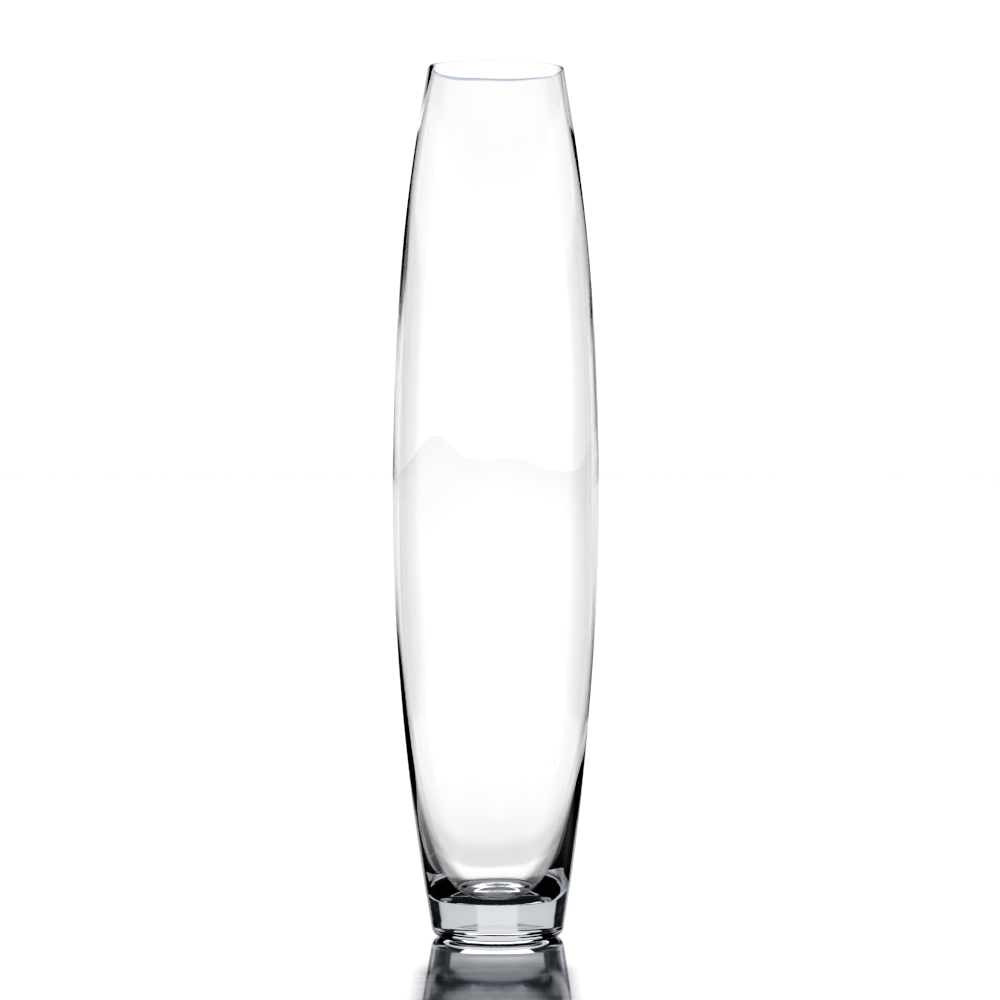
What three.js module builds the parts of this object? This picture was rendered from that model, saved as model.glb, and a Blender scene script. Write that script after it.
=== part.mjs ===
// A tall barrel-shaped flower vase of clear glass, blown in one piece.
// The wall, the fire-polished rim and the heavy solid base are one continuous body of glass,
// so the vase is a single turned shape: open at the top, hollow down to a rounded well.
//
// Millimetres, +Z up. The origin is on the axis, in the plane that the vase stands on.

import * as THREE from 'three';

// Driving dimensions
const HEIGHT = 610;
const BELLY_RADIUS = 72.8;
const BELLY_HEIGHT = 295;
const RIM_RADIUS = 47.9;
const FOOT_RADIUS = 46.8;

// How the barrel's outline leaves the foot, passes the belly and meets the rim
const FOOT_FLARE = THREE.MathUtils.degToRad(9.5);
const RIM_TAPER = THREE.MathUtils.degToRad(8.2);
const FOOT_PULL = 121;
const BELLY_PULL_DOWN = 50;
const BELLY_PULL_UP = 192;
const RIM_PULL = 40;

// Wall thickness: even over the belly, fuller towards the rim
const BELLY_WALL = 1.5;
const RIM_WALL = 3;
const RIM_WALL_DEPTH = 45;

// The well: the inside leaves the even wall at its top and narrows to a flat floor over solid glass
const WELL_TOP = 155;
const WELL_FLOOR = 27;
const WELL_FLOOR_RADIUS = 26;
const WELL_FLOOR_PULL = 14;
const WELL_WALL_PULL = 62;
const WELL_WALL_SLOPE = 0.1;

// The underside: rounded corner, flat ring to stand on, shallow hollow, polished pontil mark
const FOOT_CORNER = 8;
const RING_INNER_RADIUS = 33;
const PUNT_DEPTH = 0.8;
const PONTIL_RADIUS = 23;
const PONTIL_DEPTH = 1.2;

// How finely the curves are divided, and the least space between the well's top and the next point above
const TURN_STEPS = 48;
const LOWER_WALL_STEPS = 9;
const UPPER_WALL_STEPS = 10;
const RIM_STEPS = 6;
const WELL_STEPS = 9;
const CORNER_STEPS = 4;
const PUNT_STEPS = 3;
const PONTIL_STEPS = 2;
const HALVINGS = 40;
const WELL_TOP_GAP = 5;

function point(radius, height) {
  return new THREE.Vector2(radius, height);
}

// Points of a round stretch of the profile, angles in degrees from the outward direction.
function arcPoints(centre, radius, fromDegrees, toDegrees, steps) {
  const points = [];
  for (let i = 0; i <= steps; i += 1) {
    const angle = THREE.MathUtils.degToRad(fromDegrees + ((toDegrees - fromDegrees) * i) / steps);
    points.push(point(centre.x + radius * Math.cos(angle), centre.y + radius * Math.sin(angle)));
  }
  return points;
}

// Points of a shallow bowl that rises from its edge to its middle, ending at endRadius.
function bowlPoints(edge, rise, endRadius, steps) {
  const points = [];
  for (let i = 1; i <= steps; i += 1) {
    const radius = edge.x + ((endRadius - edge.x) * i) / steps;
    const share = radius / edge.x;
    points.push(point(radius, edge.y + rise * (1 - share * share)));
  }
  return points;
}

// The outside of the wall from the top of the foot's corner up to the belly.
function lowerWall() {
  return new THREE.CubicBezierCurve(
    point(FOOT_RADIUS, FOOT_CORNER),
    point(FOOT_RADIUS + FOOT_PULL * Math.sin(FOOT_FLARE), FOOT_CORNER + FOOT_PULL * Math.cos(FOOT_FLARE)),
    point(BELLY_RADIUS, BELLY_HEIGHT - BELLY_PULL_DOWN),
    point(BELLY_RADIUS, BELLY_HEIGHT),
  );
}

// The outside of the wall from the belly up to the start of the rounded rim.
function upperWall() {
  const rimHeight = HEIGHT - RIM_WALL / 2;
  return new THREE.CubicBezierCurve(
    point(BELLY_RADIUS, BELLY_HEIGHT),
    point(BELLY_RADIUS, BELLY_HEIGHT + BELLY_PULL_UP),
    point(RIM_RADIUS + RIM_PULL * Math.sin(RIM_TAPER), rimHeight - RIM_PULL * Math.cos(RIM_TAPER)),
    point(RIM_RADIUS, rimHeight),
  );
}

function outerWall() {
  const upper = upperWall().getPoints(UPPER_WALL_STEPS);
  return [...lowerWall().getPoints(LOWER_WALL_STEPS), ...upper.slice(1)];
}

// Radius of the lower wall's outside at a height, found by halving the curve's range.
function lowerWallRadius(height) {
  const curve = lowerWall();
  let below = 0;
  let above = 1;
  for (let i = 0; i < HALVINGS; i += 1) {
    const middle = (below + above) / 2;
    if (curve.getPoint(middle).y < height) {
      below = middle;
    } else {
      above = middle;
    }
  }
  return curve.getPoint(below).x;
}

// Thickness of the wall above the well at a height, measured level.
function wallThickness(height) {
  const nearRim = THREE.MathUtils.clamp(1 - (HEIGHT - height) / RIM_WALL_DEPTH, 0, 1);
  return BELLY_WALL + (RIM_WALL - BELLY_WALL) * nearRim ** 2;
}

// The inside of the wall, from the rim down to the top of the well.
function innerWall(outer) {
  const above = outer.filter((p) => p.y > WELL_TOP + WELL_TOP_GAP);
  const inner = above.map((p) => point(p.x - wallThickness(p.y), p.y));
  return [...inner.reverse(), point(lowerWallRadius(WELL_TOP) - BELLY_WALL, WELL_TOP)];
}

// The well: from the lowest point of the inner wall round to the middle of its floor.
function wellPoints(wallFoot) {
  const slope = point(WELL_WALL_SLOPE, 1).normalize();
  const curve = new THREE.CubicBezierCurve(
    wallFoot,
    point(wallFoot.x - WELL_WALL_PULL * slope.x, wallFoot.y - WELL_WALL_PULL * slope.y),
    point(WELL_FLOOR_RADIUS + WELL_FLOOR_PULL, WELL_FLOOR),
    point(WELL_FLOOR_RADIUS, WELL_FLOOR),
  );
  return [...curve.getPoints(WELL_STEPS).slice(1), point(0, WELL_FLOOR)];
}

// The underside and the foot's corner, from the axis out to the start of the outer wall.
function undersidePoints() {
  const ringInner = point(RING_INNER_RADIUS, 0);
  const punt = bowlPoints(ringInner, PUNT_DEPTH, PONTIL_RADIUS, PUNT_STEPS);
  const pontilEdge = punt[punt.length - 1];
  const pontil = bowlPoints(pontilEdge, PUNT_DEPTH - pontilEdge.y + PONTIL_DEPTH, 0, PONTIL_STEPS);
  const cornerCentre = point(FOOT_RADIUS - FOOT_CORNER, FOOT_CORNER);
  const corner = arcPoints(cornerCentre, FOOT_CORNER, -90, 0, CORNER_STEPS);
  return [...pontil.reverse(), ...punt.reverse(), ringInner, ...corner.slice(0, -1)];
}

// The rounded rim, from the outside of the wall over the top to the inside.
function rimPoints() {
  const centre = point(RIM_RADIUS - RIM_WALL / 2, HEIGHT - RIM_WALL / 2);
  return arcPoints(centre, RIM_WALL / 2, 0, 180, RIM_STEPS).slice(1, -1);
}

function vaseGeometry() {
  const outer = outerWall();
  const inner = innerWall(outer);
  const profile = [
    ...undersidePoints(),
    ...outer,
    ...rimPoints(),
    ...inner,
    ...wellPoints(inner[inner.length - 1]),
  ];
  const geometry = new THREE.LatheGeometry(profile, TURN_STEPS);
  geometry.rotateX(Math.PI / 2);
  return geometry;
}

const glass = new THREE.MeshStandardMaterial({
  color: 0xf1f5f8,
  roughness: 0.02,
  metalness: 0,
  transparent: true,
  opacity: 0.35,
});

const vase = new THREE.Mesh(vaseGeometry(), glass);
vase.name = 'glass_vase';

const group = new THREE.Group();
group.add(vase);

export default group;
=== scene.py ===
"""The looks of a tall barrel-shaped vase of clear blown glass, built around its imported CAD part.

Metres, +Z up, the vase's axis on Z and the plane that it stands on at Z = 0. The front is -Y.
"""

import math
import random

import bmesh
import bpy
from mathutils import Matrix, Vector


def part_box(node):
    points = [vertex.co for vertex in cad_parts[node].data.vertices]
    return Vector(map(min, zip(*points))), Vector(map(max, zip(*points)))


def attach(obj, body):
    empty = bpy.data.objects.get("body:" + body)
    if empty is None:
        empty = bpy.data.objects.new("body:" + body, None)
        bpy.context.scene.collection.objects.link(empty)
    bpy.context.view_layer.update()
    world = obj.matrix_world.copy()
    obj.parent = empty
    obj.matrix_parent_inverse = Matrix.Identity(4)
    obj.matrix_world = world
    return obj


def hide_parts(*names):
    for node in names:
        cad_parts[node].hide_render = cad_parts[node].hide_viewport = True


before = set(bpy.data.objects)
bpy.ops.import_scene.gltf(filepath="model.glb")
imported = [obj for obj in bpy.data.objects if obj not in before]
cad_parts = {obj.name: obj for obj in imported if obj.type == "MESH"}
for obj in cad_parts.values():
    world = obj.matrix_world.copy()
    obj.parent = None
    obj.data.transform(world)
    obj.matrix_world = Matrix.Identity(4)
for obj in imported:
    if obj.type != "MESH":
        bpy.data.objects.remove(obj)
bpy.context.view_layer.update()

NODE = "glass_vase"
MM = 0.001
cad_low, cad_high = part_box(NODE)
HEIGHT = cad_high.z
BELLY_RADIUS = cad_high.x


# ---------------------------------------------------------------- camera

CAMERA_DISTANCE = 2.146
CAMERA_HEIGHT = 0.338
CAMERA_LENS = 110
CAMERA_SENSOR = 36
CAMERA_REACH = 200
CAMERA_TILT = math.radians(0.84)
CAMERA_SIDESTEP = 0.003


def add_camera():
    """A long lens at about the vase's middle height, so the rim is seen from just below."""
    data = bpy.data.cameras.new("camera")
    data.lens = CAMERA_LENS
    data.sensor_width = CAMERA_SENSOR
    data.clip_end = CAMERA_REACH
    camera = bpy.data.objects.new("camera", data)
    camera.location = (CAMERA_SIDESTEP, -CAMERA_DISTANCE, CAMERA_HEIGHT)
    camera.rotation_euler = (math.pi / 2 - CAMERA_TILT, 0, 0)
    bpy.context.scene.collection.objects.link(camera)
    bpy.context.scene.camera = camera


add_camera()


# ---------------------------------------------------------------- the shape of the vase

# The outside. A pull is how far a curve's handle reaches from its end point.
BELLY_HEIGHT = 295 * MM
RIM_RADIUS = 47.9 * MM
FOOT_RADIUS = 46.8 * MM
FOOT_FLARE = math.radians(9.5)
RIM_TAPER = math.radians(8.2)
FOOT_PULL = 121 * MM
BELLY_PULL_DOWN = 50 * MM
BELLY_PULL_UP = 192 * MM
RIM_PULL = 40 * MM

# The wall. It is thinnest around a height between belly and rim, and thickens as it nears the rim.
BELLY_WALL = 1.5 * MM
THIN_WALL_LOSS = 0.35 * MM
THIN_WALL_HEIGHT = 410 * MM
THIN_WALL_SPREAD = 70 * MM
RIM_WALL = 3 * MM
RIM_WALL_DEPTH = 45 * MM
WELL_TOP = 155 * MM
WELL_TOP_GAP = 1 * MM

# The well inside the heavy base, and the underside.
WELL_FLOOR = 27 * MM
WELL_FLOOR_RADIUS = 26 * MM
WELL_FLOOR_PULL = 14 * MM
WELL_WALL_PULL = 62 * MM
WELL_WALL_SLOPE = 0.1

FOOT_CORNER = 8 * MM
RING_INNER_RADIUS = 33 * MM
PUNT_DEPTH = 0.8 * MM
PONTIL_RADIUS = 23 * MM
PONTIL_DEPTH = 1.2 * MM

TURN_STEPS = 240
LOWER_WALL_STEPS = 60
UPPER_WALL_STEPS = 60
RIM_STEPS = 14
WELL_STEPS = 30
FLOOR_STEPS = 10
CORNER_STEPS = 10
PUNT_STEPS = 8
PONTIL_STEPS = 8

# What hand work leaves. Waves have their full depth outside a radius and die out towards the axis. The
# outside face is shifted at the foot. The lip leans and dips, and both fade out down the wall by a power.
WAVE_FULL_RADIUS = 40 * MM
FOOT_SIDESTEP = 1.4 * MM
FOOT_SIDESTEP_TOP = 260 * MM
RIM_TILT = math.radians(0.6)
RIM_DIP = 0.5 * MM
RIM_LOBE_DEPTH = 0.5 * MM
TILT_NEARNESS = 12

# Slow waves of the two faces of the wall: depth in mm, turns around the axis, start of the wave in
# radians, and the height in mm over which it moves on by one radian.
OUTSIDE_WAVES = ((0.16, 2, 0.7, 75), (0.09, 3, 2.1, -48), (0.05, 5, 0, 31))
INSIDE_WAVES = ((0.14, 1, 1.2, 92), (0.13, 3, 0.3, -37), (0.07, 7, 1.9, 26))

# The lip's thicker and thinner places: share, number around the mouth, start of the wave in radians.
RIM_LOBES = ((0.5, 5, -0.2), (0.3, 8, 0), (0.2, 3, 0.2))

# Seed bubbles. A crowding above 1 puts more of them low down.
SEED_COUNT = 150
SEED_DRAW = 7
SEED_LOWEST = 34 * MM
SEED_HIGHEST = 150 * MM
SEED_CROWDING = 2.2
SEED_SPREAD = 1.6 * MM
SEED_WIDTHS = (0.22 * MM, 0.5 * MM)
SEED_STRETCHES = (1.2, 2.6)
SEED_RINGS = 6
SEED_SIDES = 8


def clamp(value):
    return max(0.0, min(1.0, value))


def bezier(a, b, c, d, steps):
    """Points of a cubic curve from a to d, each a (radius, height) pair."""
    points = []
    for i in range(steps + 1):
        t = i / steps
        weights = ((1 - t) ** 3, 3 * t * (1 - t) ** 2, 3 * t * t * (1 - t), t ** 3)
        radius = sum(w * p[0] for w, p in zip(weights, (a, b, c, d)))
        height = sum(w * p[1] for w, p in zip(weights, (a, b, c, d)))
        points.append((radius, height))
    return points


def arc(centre, radius, start, end, steps):
    """Points of a round stretch, angles in degrees from the outward direction."""
    points = []
    for i in range(steps + 1):
        angle = math.radians(start + (end - start) * i / steps)
        points.append((centre[0] + radius * math.cos(angle), centre[1] + radius * math.sin(angle)))
    return points


def bowl(edge, rise, end_radius, steps):
    """Points of a shallow hollow that rises from its edge towards the axis."""
    points = []
    for i in range(1, steps + 1):
        radius = edge[0] + (end_radius - edge[0]) * i / steps
        points.append((radius, edge[1] + rise * (1 - (radius / edge[0]) ** 2)))
    return points


def outer_wall():
    belly = (BELLY_RADIUS, BELLY_HEIGHT)
    rim_height = HEIGHT - RIM_WALL / 2
    lower = bezier(
        (FOOT_RADIUS, FOOT_CORNER),
        (FOOT_RADIUS + FOOT_PULL * math.sin(FOOT_FLARE), FOOT_CORNER + FOOT_PULL * math.cos(FOOT_FLARE)),
        (BELLY_RADIUS, BELLY_HEIGHT - BELLY_PULL_DOWN),
        belly,
        LOWER_WALL_STEPS,
    )
    upper = bezier(
        belly,
        (BELLY_RADIUS, BELLY_HEIGHT + BELLY_PULL_UP),
        (RIM_RADIUS + RIM_PULL * math.sin(RIM_TAPER), rim_height - RIM_PULL * math.cos(RIM_TAPER)),
        (RIM_RADIUS, rim_height),
        UPPER_WALL_STEPS,
    )
    return lower + upper[1:]


def wall_thickness(height):
    """Thickest at the lip, thinnest some way above the belly."""
    near_rim = clamp(1 - (HEIGHT - height) / RIM_WALL_DEPTH)
    thin_zone = math.exp(-((height - THIN_WALL_HEIGHT) / THIN_WALL_SPREAD) ** 2)
    return BELLY_WALL - THIN_WALL_LOSS * thin_zone + (RIM_WALL - BELLY_WALL) * near_rim ** 2


def outer_radius_at(outer, height):
    for (r0, z0), (r1, z1) in zip(outer, outer[1:]):
        if z0 <= height <= z1:
            return r0 + (r1 - r0) * (height - z0) / (z1 - z0)
    raise ValueError(height)


def inner_wall(outer):
    points = [(r - wall_thickness(z), z) for r, z in outer if z > WELL_TOP + WELL_TOP_GAP]
    foot = (outer_radius_at(outer, WELL_TOP) - BELLY_WALL, WELL_TOP)
    return list(reversed([foot] + points))


def well(foot):
    run = WELL_WALL_PULL / math.hypot(WELL_WALL_SLOPE, 1)
    curve = bezier(
        foot,
        (foot[0] - run * WELL_WALL_SLOPE, foot[1] - run),
        (WELL_FLOOR_RADIUS + WELL_FLOOR_PULL, WELL_FLOOR),
        (WELL_FLOOR_RADIUS, WELL_FLOOR),
        WELL_STEPS,
    )
    floor = [(WELL_FLOOR_RADIUS * (1 - i / FLOOR_STEPS), WELL_FLOOR) for i in range(1, FLOOR_STEPS + 1)]
    return curve[1:] + floor


def underside():
    """From the middle of the pontil hollow out to the top of the foot's rounded corner."""
    ring_inner = (RING_INNER_RADIUS, 0)
    punt = bowl(ring_inner, PUNT_DEPTH, PONTIL_RADIUS, PUNT_STEPS)
    pontil = bowl(punt[-1], PUNT_DEPTH - punt[-1][1] + PONTIL_DEPTH, 0, PONTIL_STEPS)
    corner = arc((FOOT_RADIUS - FOOT_CORNER, FOOT_CORNER), FOOT_CORNER, -90, 0, CORNER_STEPS)
    ring_middle = ((RING_INNER_RADIUS + FOOT_RADIUS - FOOT_CORNER) / 2, 0)
    return pontil[::-1] + punt[::-1] + [ring_inner, ring_middle] + corner[:-1]


def rim():
    centre = (RIM_RADIUS - RIM_WALL / 2, HEIGHT - RIM_WALL / 2)
    return arc(centre, RIM_WALL / 2, 0, 180, RIM_STEPS)[1:-1]


def rim_lobes(angle):
    """How much thicker the lip is than average at an angle around the mouth, from -1 to 1."""
    return sum(share * math.sin(count * angle + start) for share, count, start in RIM_LOBES)


def wall_wave(waves, angle, height):
    """How far a face of the wall stands out from the true shape."""
    wave = 0
    for depth, turns, start, climb in waves:
        wave += depth * MM * math.sin(turns * angle + start + height / (climb * MM))
    return wave


def blown_point(radius, height, inside, angle):
    """Where hand work leaves a point of the true turned shape.

    inside is 0 on the outer face and 1 on the inner one.
    """
    away_from_axis = clamp(radius / WAVE_FULL_RADIUS)
    near_rim = clamp(1 - (HEIGHT - height) / RIM_WALL_DEPTH)
    outer_share = 1 - inside * (1 - near_rim)
    wave = wall_wave(OUTSIDE_WAVES, angle, height) * outer_share
    wave += wall_wave(INSIDE_WAVES, angle, height) * (1 - outer_share)
    wave -= RIM_LOBE_DEPTH * rim_lobes(angle) * near_rim ** 2 * inside
    radius += wave * away_from_axis
    shift = FOOT_SIDESTEP * clamp(1 - height / FOOT_SIDESTEP_TOP) ** 2 * (1 - inside)
    x = radius * math.cos(angle) + shift
    y = radius * math.sin(angle)
    near_top = clamp(height / HEIGHT) ** TILT_NEARNESS
    z = height - near_top * (x * math.tan(RIM_TILT) + RIM_DIP * (0.5 + 0.5 * rim_lobes(angle)))
    return x, y, z


def turned_mesh(profile):
    """A closed mesh of the profile turned about Z. The profile starts and ends on the axis."""
    mesh = bmesh.new()
    bottom = mesh.verts.new(blown_point(*profile[0], 0))
    top = mesh.verts.new(blown_point(*profile[-1], 0))
    rings = []
    for point in profile[1:-1]:
        ring = []
        for j in range(TURN_STEPS):
            angle = 2 * math.pi * j / TURN_STEPS
            ring.append(mesh.verts.new(blown_point(*point, angle)))
        rings.append(ring)
    for j in range(TURN_STEPS):
        k = (j + 1) % TURN_STEPS
        mesh.faces.new((bottom, rings[0][k], rings[0][j]))
        for low, high in zip(rings, rings[1:]):
            mesh.faces.new((low[j], low[k], high[k], high[j]))
        mesh.faces.new((top, rings[-1][j], rings[-1][k]))
    return mesh


def vase_profile():
    """The half section as (radius, height, inside) points, from under the foot to the well's floor."""
    outer = outer_wall()
    lip = rim()
    inner = inner_wall(outer)
    points = [(r, z, 0) for r, z in underside() + outer]
    points += [(r, z, (i + 1) / (len(lip) + 1)) for i, (r, z) in enumerate(lip)]
    points += [(r, z, 1) for r, z in inner + well(inner[-1])]
    return points


def radius_in_wall(height):
    """The middle of the glass at a height above the well's floor."""
    outer = outer_wall()
    inner = inner_wall(outer)
    inner += well(inner[-1])
    inner_radius = min(r for r, z in inner if z >= height)
    return (outer_radius_at(outer, height) + inner_radius) / 2


def add_seed(mesh, centre, width, length):
    """A tiny bubble drawn out upright: a closed hollow whose faces look into it."""
    rings = []
    for i in range(1, SEED_RINGS):
        slope = math.pi * i / SEED_RINGS
        ring = []
        for j in range(SEED_SIDES):
            angle = 2 * math.pi * j / SEED_SIDES
            out = math.sin(slope) * width / 2
            up = math.cos(slope) * length / 2
            offset = Vector((out * math.cos(angle), out * math.sin(angle), up))
            ring.append(mesh.verts.new(centre + offset))
        rings.append(ring)
    top = mesh.verts.new(centre + Vector((0, 0, length / 2)))
    bottom = mesh.verts.new(centre - Vector((0, 0, length / 2)))
    for j in range(SEED_SIDES):
        k = (j + 1) % SEED_SIDES
        mesh.faces.new((top, rings[0][k], rings[0][j]))
        for high, low in zip(rings, rings[1:]):
            mesh.faces.new((high[j], high[k], low[k], low[j]))
        mesh.faces.new((bottom, rings[-1][j], rings[-1][k]))


def add_seeds(mesh):
    """Seed bubbles, most of them low in the wall where the glass is thick."""
    draw = random.Random(SEED_DRAW)
    for _ in range(SEED_COUNT):
        height = SEED_LOWEST + (SEED_HIGHEST - SEED_LOWEST) * draw.random() ** SEED_CROWDING
        angle = 2 * math.pi * draw.random()
        spread = SEED_SPREAD * clamp(1 - height / SEED_HIGHEST)
        radius = radius_in_wall(height) + draw.uniform(-1, 1) * spread
        width = draw.uniform(*SEED_WIDTHS)
        centre = Vector((radius * math.cos(angle), radius * math.sin(angle), height))
        add_seed(mesh, centre, width, width * draw.uniform(*SEED_STRETCHES))


def vase_mesh(name):
    """The turned glass with its seed bubbles, shaded smooth."""
    mesh = turned_mesh(vase_profile())
    add_seeds(mesh)
    data = bpy.data.meshes.new(name)
    mesh.to_mesh(data)
    mesh.free()
    for polygon in data.polygons:
        polygon.use_smooth = True
    return data


# ---------------------------------------------------------------- shader helpers

# Light that is less than full is slightly cool, with all of the tint at a third of full brightness.
WHITE = (1, 1, 1)
COOL_GREY = (0.95, 0.98, 1.05)
TINTING = 1.5
HALF_TURN = 180
STRAIGHT_UP = 90


def math_node(tree, operation, a, b=0.0):
    node = tree.nodes.new("ShaderNodeMath")
    node.operation = operation
    for socket, value in zip(node.inputs, (a, b)):
        if isinstance(value, (int, float)):
            socket.default_value = value
        else:
            tree.links.new(value, socket)
    return node.outputs[0]


def soft_step(tree, value, start, end):
    """0 before start, 1 after end, smooth between. start may be above end."""
    node = tree.nodes.new("ShaderNodeMapRange")
    node.interpolation_type = "SMOOTHSTEP"
    low, high, rising = (start, end, 1) if start < end else (end, start, 0)
    tree.links.new(value, node.inputs["Value"])
    node.inputs["From Min"].default_value = low
    node.inputs["From Max"].default_value = high
    node.inputs["To Min"].default_value = 1 - rising
    node.inputs["To Max"].default_value = rising
    return node.outputs["Result"]


def mix_colour(tree, factor, a, b):
    node = tree.nodes.new("ShaderNodeMix")
    node.data_type = "RGBA"
    tree.links.new(factor, node.inputs["Factor"])
    tree.links.new(a, node.inputs["A"])
    tree.links.new(b, node.inputs["B"])
    return node.outputs["Result"]


def split_vector(tree, vector):
    split = tree.nodes.new("ShaderNodeSeparateXYZ")
    tree.links.new(vector, split.inputs[0])
    return tuple(split.outputs)


def plain_colour(tree, colour):
    node = tree.nodes.new("ShaderNodeRGB")
    node.outputs[0].default_value = (*colour, 1)
    return node.outputs[0]


def ramp(tree, value, full_scale, stops, tint=COOL_GREY):
    """Brightness along a value, from (value, brightness) stops. The darker stops take on the tint."""
    node = tree.nodes.new("ShaderNodeValToRGB")
    tree.links.new(math_node(tree, "DIVIDE", value, full_scale), node.inputs[0])
    elements = node.color_ramp.elements
    while len(elements) < len(stops):
        elements.new(0.5)
    for element, (place, brightness) in zip(elements, stops):
        element.position = place / full_scale
        tinting = clamp(TINTING * (1 - brightness))
        element.color = [brightness * (1 + (channel - 1) * tinting) for channel in tint] + [1]
    return node.outputs["Color"]


def azimuth_and_elevation(tree, vector):
    """Degrees away from the backdrop's middle on either side, degrees above level, and level distance."""
    x, y, z = split_vector(tree, vector)
    turn = math_node(tree, "MULTIPLY", math_node(tree, "ARCTAN2", x, y), math.degrees(1))
    squares = math_node(tree, "ADD", math_node(tree, "MULTIPLY", x, x), math_node(tree, "MULTIPLY", y, y))
    level = math_node(tree, "SQRT", squares)
    rise = math_node(tree, "MULTIPLY", math_node(tree, "ARCTAN2", z, level), math.degrees(1))
    return math_node(tree, "ABSOLUTE", turn), rise, level


# ---------------------------------------------------------------- glass

GLASS_IOR = 1.5
GLASS_BODY = (0.86, 0.87, 0.885)
GLASS_BODY_DENSITY = 30
# Painted shade: a blue-grey colour on the top of the lip's back half, down to this depth from the rim,
# for the dark line the lip shows there.
PAINTED_LIP_SHADE = (0.5, 0.58, 0.7)
PAINTED_LIP_SHADE_DEPTH = 2.6 * MM


def glass_material():
    """Clear glass, slightly grey where it is thick, with a painted blue-grey shade along the top of the
    lip's back half.
    """
    material = bpy.data.materials.new("clear_glass")
    material.use_nodes = True
    tree = material.node_tree
    shader = tree.nodes["Principled BSDF"]
    shader.inputs["Transmission Weight"].default_value = 1
    shader.inputs["Roughness"].default_value = 0
    shader.inputs["IOR"].default_value = GLASS_IOR
    place = tree.nodes.new("ShaderNodeTexCoord").outputs["Object"]
    _, back, up = split_vector(tree, place)
    # The painted shade covers only the top of the lip, and only on its back half.
    lip = soft_step(tree, up, HEIGHT - PAINTED_LIP_SHADE_DEPTH, HEIGHT - PAINTED_LIP_SHADE_DEPTH / 2)
    far_side = soft_step(tree, back, -RIM_RADIUS, RIM_RADIUS)
    painted_lip_shade_mask = math_node(tree, "MULTIPLY", lip, far_side)
    surface = mix_colour(tree, painted_lip_shade_mask, plain_colour(tree, WHITE), plain_colour(tree, PAINTED_LIP_SHADE))
    tree.links.new(surface, shader.inputs["Base Color"])
    body = tree.nodes.new("ShaderNodeVolumeAbsorption")
    body.inputs["Color"].default_value = (*GLASS_BODY, 1)
    body.inputs["Density"].default_value = GLASS_BODY_DENSITY
    tree.links.new(body.outputs[0], tree.nodes["Material Output"].inputs["Volume"])
    return material


# ---------------------------------------------------------------- floor

# Painted light: how brightly the floor glows by itself, by degrees around the vase, and how much of it is
# mirror, from 0 looking straight down to 1 looking along it. Its shadows are in metres.
FLOOR_GLOW = ((0, 1), (25, 1), (45, 0.88), (180, 0.78))
FLOOR_GLOSS = ((0, 0.06), (0.5, 0.08), (0.58, 0.12), (0.74, 0.35), (0.82, 0.9), (0.85, 0.95), (1, 0.97))
FLOOR_ROUGHNESS = 0.07

# The shade right under the vase.
UNDER_SHADE = 0.95
UNDER_RADIUS = 0.062
UNDER_EDGE = 0.012

# The shadows to the vase's sides: their depth, reach, and edges in degrees around it.
SIDE_SHADOW = 0.82
SIDE_SHADOW_END = 0.36
SIDE_SHADOW_FADE = 0.15
SIDE_SHADOW_FRONT = (108, 76)
SIDE_SHADOW_BACK = (22, 42)

# The painted shadow: a darker strip of mirror in front of the vase.
SHADOW_COLOUR = (0.12, 0.13, 0.15)
SHADOW_HALF_WIDTH = 0.06
SHADOW_EDGE = 0.024
SHADOW_START = -0.09
SHADOW_FULL = -0.16
SHADOW_FADE = -0.3
SHADOW_END = -0.5
SHADOW_DEPTH = 0.6
STREAK_DEPTH = 0.5
STREAK_SCALE = (6, 160, 1)
STREAK_DETAIL = 3


def front_shadow(tree, position):
    """How much the painted shadow darkens the mirror in front of the vase, in fine level streaks."""
    x, y, _ = split_vector(tree, position)
    off_middle = math_node(tree, "ABSOLUTE", x)
    across = soft_step(tree, off_middle, SHADOW_HALF_WIDTH, SHADOW_HALF_WIDTH - SHADOW_EDGE)
    along = soft_step(tree, y, SHADOW_START, SHADOW_FULL)
    fading = soft_step(tree, y, SHADOW_END, SHADOW_FADE)
    stretch = tree.nodes.new("ShaderNodeMapping")
    stretch.inputs["Scale"].default_value = STREAK_SCALE
    tree.links.new(position, stretch.inputs["Vector"])
    streaks = tree.nodes.new("ShaderNodeTexNoise")
    streaks.inputs["Scale"].default_value = 1
    streaks.inputs["Detail"].default_value = STREAK_DETAIL
    tree.links.new(stretch.outputs[0], streaks.inputs["Vector"])
    streak_depth = math_node(tree, "MULTIPLY", streaks.outputs["Fac"], STREAK_DEPTH)
    depth = math_node(tree, "ADD", streak_depth, SHADOW_DEPTH)
    area = math_node(tree, "MULTIPLY", across, math_node(tree, "MULTIPLY", along, fading))
    return math_node(tree, "MULTIPLY", area, depth)


def side_shadow(tree, azimuth, distance):
    """The two soft shadows that start under the vase and fall to its sides."""
    from_back = soft_step(tree, azimuth, *SIDE_SHADOW_BACK)
    to_front = soft_step(tree, azimuth, *SIDE_SHADOW_FRONT)
    outwards = soft_step(tree, distance, SIDE_SHADOW_END, SIDE_SHADOW_FADE)
    shadow = math_node(tree, "MULTIPLY", math_node(tree, "MULTIPLY", from_back, to_front), outwards)
    return math_node(tree, "MULTIPLY", shadow, SIDE_SHADOW)


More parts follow.
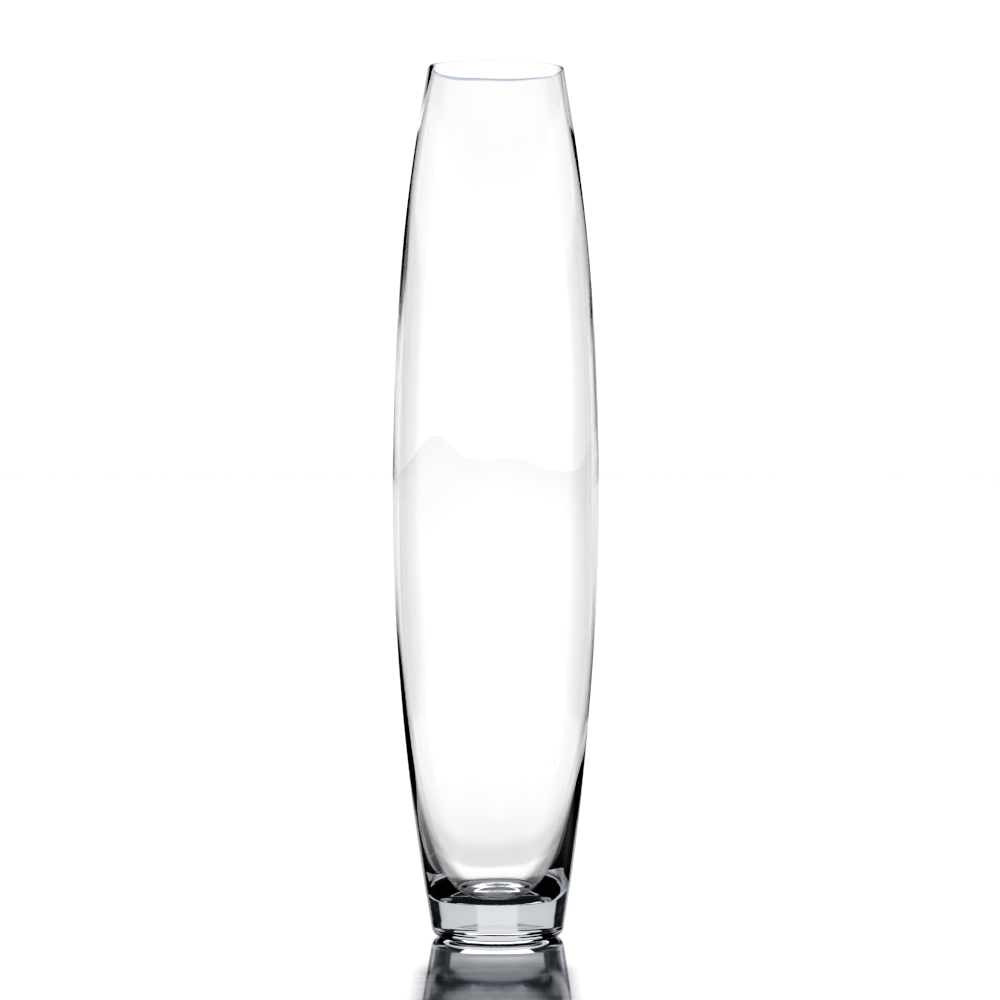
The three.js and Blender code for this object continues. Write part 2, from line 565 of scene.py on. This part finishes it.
def floor_material():
    """A pale floor with a painted glow, brighter behind the vase, that is a mirror where it is seen at a
    low angle.
    """
    material = bpy.data.materials.new("floor")
    material.use_nodes = True
    tree = material.node_tree
    tree.nodes.clear()
    position = tree.nodes.new("ShaderNodeNewGeometry").outputs["Position"]
    azimuth, _, distance = azimuth_and_elevation(tree, position)
    shadow = front_shadow(tree, position)
    under = soft_step(tree, distance, UNDER_RADIUS, UNDER_RADIUS - UNDER_EDGE)
    emission = tree.nodes.new("ShaderNodeEmission")
    # Painted light: the floor glows by itself, brighter behind the vase, dimmed by the painted shade
    # under the vase and the painted shadows to its sides.
    tree.links.new(ramp(tree, azimuth, HALF_TURN, FLOOR_GLOW), emission.inputs["Color"])
    under_shade = math_node(tree, "MULTIPLY", under, UNDER_SHADE)
    shade = math_node(tree, "MAXIMUM", under_shade, side_shadow(tree, azimuth, distance))
    tree.links.new(math_node(tree, "SUBTRACT", 1, shade), emission.inputs["Strength"])
    gloss = tree.nodes.new("ShaderNodeBsdfGlossy")
    gloss.inputs["Roughness"].default_value = FLOOR_ROUGHNESS
    # The painted shadow darkens the mirror's colour in front of the vase.
    gloss_colour = mix_colour(tree, shadow, plain_colour(tree, WHITE), plain_colour(tree, SHADOW_COLOUR))
    tree.links.new(gloss_colour, gloss.inputs["Color"])
    facing = tree.nodes.new("ShaderNodeLayerWeight")
    strength = ramp(tree, facing.outputs["Facing"], 1, FLOOR_GLOSS, WHITE)
    mixer = tree.nodes.new("ShaderNodeMixShader")
    tree.links.new(strength, mixer.inputs["Fac"])
    tree.links.new(emission.outputs[0], mixer.inputs[1])
    tree.links.new(gloss.outputs[0], mixer.inputs[2])
    output = tree.nodes.new("ShaderNodeOutputMaterial")
    tree.links.new(mixer.outputs[0], output.inputs["Surface"])
    return material


# ---------------------------------------------------------------- the vase

vase_data = vase_mesh("blown_glass_vase")
vase_data.materials.append(glass_material())
vase = bpy.data.objects.new("blown_glass_vase", vase_data)
bpy.context.scene.collection.objects.link(vase)
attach(vase, "root")
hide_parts(NODE)


# ---------------------------------------------------------------- stage and light

FLOOR_REACH = 60
FLOOR_DROP = 0.2 * MM


def add_floor():
    mesh = bpy.data.meshes.new("floor")
    corners = [(x * FLOOR_REACH, y * FLOOR_REACH, 0) for x, y in ((-1, -1), (1, -1), (1, 1), (-1, 1))]
    mesh.from_pydata(corners, [], [(0, 1, 2, 3)])
    floor = bpy.data.objects.new("floor", mesh)
    floor.location.z = -FLOOR_DROP
    mesh.materials.append(floor_material())
    bpy.context.scene.collection.objects.link(floor)


add_floor()


# The backdrop's half width in degrees and its brightness, by degrees above level. Its edge is soft.
BACKDROP_WIDTH = (
    (0, 10), (5, 10.3), (8, 12), (9.2, 21), (10.5, 28),
    (15, 31), (19, 32), (23, 33), (26, 24), (45, 22),
)
BACKDROP_LIGHT = (
    (0, 1.11), (17, 1.11), (19, 0.45), (25, 0.45),
    (27, 3.6), (40, 3.6), (46, 0.1), (90, 0.1),
)
BACKDROP_EDGE = 2.4

# The brightness beside the backdrop, by degrees around from its middle: at level and in higher zones.
LEVEL_LIGHT = ((0, 0.3), (30, 0.3), (43.5, 0.5), (46, 0.05), (76, 0.2), (84, 0.6), (180, 0.85))
BAND_LIGHT = ((0, 0.95), (43.5, 0.82), (46, 0.01), (76, 0.01), (84, 0.6), (180, 0.85))
LOW_LIGHT = (
    (0, 0.01), (33, 0.01), (36, 0.75), (42, 0.7),
    (45, 0.01), (76, 0.01), (84, 0.6), (180, 0.85),
)
MIRROR_LIGHT = ((0, 0.01), (76, 0.01), (84, 0.6), (180, 0.85))
HIGH_LIGHT = ((0, 0.03), (44, 0.03), (54, 0.8), (110, 0.8), (130, 0.5), (180, 0.5))
TOP_LIGHT = ((0, 0.03), (180, 0.03))

# Each zone's light, and the degrees above level between which it takes over from the one below.
SIDE_ZONES = (
    (BAND_LIGHT, 0, 0.6),
    (LOW_LIGHT, 3.4, 4.2),
    (MIRROR_LIGHT, 5.4, 6.2),
    (HIGH_LIGHT, 9.6, 10.6),
    (TOP_LIGHT, 17, 20),
)


def light_world():
    """A soft backdrop behind the vase, and the darker and lighter sides of the studio around it."""
    world = bpy.data.worlds.new("studio")
    bpy.context.scene.world = world
    world.use_nodes = True
    tree = world.node_tree
    tree.nodes.clear()
    coords = tree.nodes.new("ShaderNodeTexCoord")
    azimuth, elevation, _ = azimuth_and_elevation(tree, coords.outputs["Generated"])
    sides = ramp(tree, azimuth, HALF_TURN, LEVEL_LIGHT)
    for stops, start, end in SIDE_ZONES:
        zone = ramp(tree, azimuth, HALF_TURN, stops)
        sides = mix_colour(tree, soft_step(tree, elevation, start, end), sides, zone)
    widths = [(rise, width / STRAIGHT_UP) for rise, width in BACKDROP_WIDTH]
    half_width = ramp(tree, elevation, STRAIGHT_UP, widths, WHITE)
    past_edge = math_node(tree, "SUBTRACT", azimuth, math_node(tree, "MULTIPLY", half_width, STRAIGHT_UP))
    backdrop = ramp(tree, elevation, STRAIGHT_UP, BACKDROP_LIGHT, WHITE)
    light = mix_colour(tree, soft_step(tree, past_edge, BACKDROP_EDGE, 0), sides, backdrop)
    background = tree.nodes.new("ShaderNodeBackground")
    output = tree.nodes.new("ShaderNodeOutputWorld")
    tree.links.new(light, background.inputs["Color"])
    tree.links.new(background.outputs[0], output.inputs["Surface"])


light_world()


COMBINED_CURVE = 3
TONE_CURVE = ((0.05, 0.004), (0.09, 0.022), (0.16, 0.115), (0.3, 0.28))


def set_tone():
    """A studio print's contrast: the darkest greys go to black, and the light ones stay."""
    view = bpy.context.scene.view_settings
    view.view_transform = "Standard"
    view.use_curve_mapping = True
    curve = view.curve_mapping.curves[COMBINED_CURVE]
    for before, after in TONE_CURVE:
        curve.points.new(before, after)
    view.curve_mapping.update()


set_tone()
